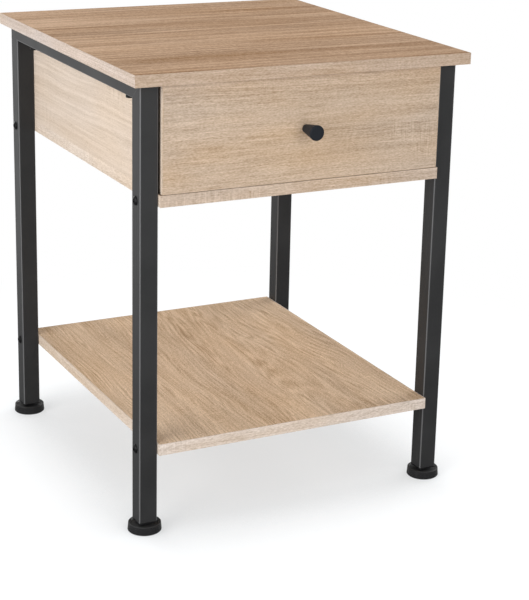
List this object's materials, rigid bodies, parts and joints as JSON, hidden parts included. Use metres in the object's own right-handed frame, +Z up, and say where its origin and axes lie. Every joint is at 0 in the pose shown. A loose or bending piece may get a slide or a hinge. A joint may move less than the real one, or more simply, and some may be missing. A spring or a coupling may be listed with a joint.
{
  "type": "side table with drawer",
  "caption": "Side table on square steel legs with a drawer on roller runners under the top, an open lower shelf and levelling feet.",
  "frame": {"origin": "on the floor, in the middle between the knob's face and the rear edge of the top, and between the left and right edges of the top", "axes": "+X to the right seen from the front, -Y out of the front where the drawer opens, +Z up"},
  "size_m": [0.47, 0.5206, 0.6],
  "materials": {
    "oak_decor": "matt pale oak decor with a fine open grain",
    "oak_edging": "matt pale oak edging strip",
    "hardboard": "smooth brown hardboard",
    "black_steel": "satin black powder coat",
    "black_fastener": "black zinc",
    "black_plastic": "moulded black plastic",
    "knob_black": "satin black lacquer",
    "zinc_steel": "bright zinc",
    "nylon": "off-white nylon",
    "beech": "plain turned beech"
  },
  "bodies": {
    "frame": {"table_top": "oak_decor", "box_floor": "oak_decor", "left_side_panel": "oak_decor", "right_side_panel": "oak_decor", "back_panel": "oak_decor", "lower_shelf": "oak_decor", "table_top_edging": "oak_edging", "box_floor_edging": "oak_edging", "lower_shelf_edging": "oak_edging", "front_left_leg": "black_steel", "rear_left_leg": "black_steel", "front_right_leg": "black_steel", "rear_right_leg": "black_steel", "left_rail": "black_steel", "right_rail": "black_steel", "box_bolts": "black_fastener", "shelf_bolts": "black_fastener", "top_screws": "black_fastener", "leg_plugs": "black_plastic", "box_nuts": "zinc_steel", "shelf_nuts": "zinc_steel", "box_screws": "zinc_steel", "panel_cams": "zinc_steel", "panel_cam_bolts": "zinc_steel", "left_cabinet_runner": "zinc_steel", "right_cabinet_runner": "zinc_steel", "cabinet_roller_axles": "zinc_steel", "cabinet_runner_screws": "zinc_steel", "panel_dowels": "beech", "back_panel_dowels": "beech"},
    "drawer": {"drawer_front": "oak_decor", "drawer_front_edging": "oak_edging", "drawer_left_side": "oak_decor", "drawer_right_side": "oak_decor", "drawer_back": "oak_decor", "drawer_bottom": "hardboard", "drawer_bottom_screws": "zinc_steel", "drawer_back_screws": "zinc_steel", "drawer_cams": "zinc_steel", "drawer_cam_bolts": "zinc_steel", "drawer_dowels": "beech", "knob": "knob_black", "knob_screw": "zinc_steel", "left_drawer_runner": "zinc_steel", "right_drawer_runner": "zinc_steel", "drawer_roller_axles": "zinc_steel", "drawer_runner_screws": "zinc_steel"},
    "left_cabinet_roller": {"left_cabinet_roller": "nylon"},
    "right_cabinet_roller": {"right_cabinet_roller": "nylon"},
    "left_drawer_roller": {"left_drawer_roller": "nylon"},
    "right_drawer_roller": {"right_drawer_roller": "nylon"},
    "front_left_foot": {"front_left_foot": "black_plastic", "front_left_foot_stud": "zinc_steel"},
    "rear_left_foot": {"rear_left_foot": "black_plastic", "rear_left_foot_stud": "zinc_steel"},
    "front_right_foot": {"front_right_foot": "black_plastic", "front_right_foot_stud": "zinc_steel"},
    "rear_right_foot": {"rear_right_foot": "black_plastic", "rear_right_foot_stud": "zinc_steel"}
  },
  "joints": [
    {"name": "drawer_slide", "type": "slide", "parent": "frame", "child": "drawer", "axis": [0, -1, 0], "range_m": [0, 0.3]},
    {"name": "left_cabinet_roller_turn", "type": "hinge", "parent": "frame", "child": "left_cabinet_roller", "pos_m": [-0.178, -0.19925, 0.4707], "axis": [1, 0, 0], "range_deg": [0, 1910]},
    {"name": "right_cabinet_roller_turn", "type": "hinge", "parent": "frame", "child": "right_cabinet_roller", "pos_m": [0.178, -0.19925, 0.4707], "axis": [1, 0, 0], "range_deg": [0, 1910]},
    {"name": "left_drawer_roller_turn", "type": "hinge", "parent": "drawer", "child": "left_drawer_roller", "pos_m": [-0.1763, 0.17275, 0.4705], "axis": [1, 0, 0], "range_deg": [0, 1910]},
    {"name": "right_drawer_roller_turn", "type": "hinge", "parent": "drawer", "child": "right_drawer_roller", "pos_m": [0.1763, 0.17275, 0.4705], "axis": [1, 0, 0], "range_deg": [0, 1910]},
    {"name": "front_left_foot_turn", "type": "hinge", "parent": "frame", "child": "front_left_foot", "pos_m": [-0.2105, -0.21225, 0], "axis": [0, 0, 1], "range_deg": [0, 1800]},
    {"name": "rear_left_foot_turn", "type": "hinge", "parent": "frame", "child": "rear_left_foot", "pos_m": [-0.2105, 0.23575, 0], "axis": [0, 0, 1], "range_deg": [0, 1800]},
    {"name": "front_right_foot_turn", "type": "hinge", "parent": "frame", "child": "front_right_foot", "pos_m": [0.2105, -0.21225, 0], "axis": [0, 0, 1], "range_deg": [0, 1800]},
    {"name": "rear_right_foot_turn", "type": "hinge", "parent": "frame", "child": "rear_right_foot", "pos_m": [0.2105, 0.23575, 0], "axis": [0, 0, 1], "range_deg": [0, 1800]}
  ],
  "couplings": [
    {"joint": "left_cabinet_roller_turn", "follows": "drawer_slide", "rad_per_m": 111.11},
    {"joint": "right_cabinet_roller_turn", "follows": "drawer_slide", "rad_per_m": 111.11},
    {"joint": "left_drawer_roller_turn", "follows": "drawer_slide", "rad_per_m": 111.11},
    {"joint": "right_drawer_roller_turn", "follows": "drawer_slide", "rad_per_m": 111.11}
  ]
}
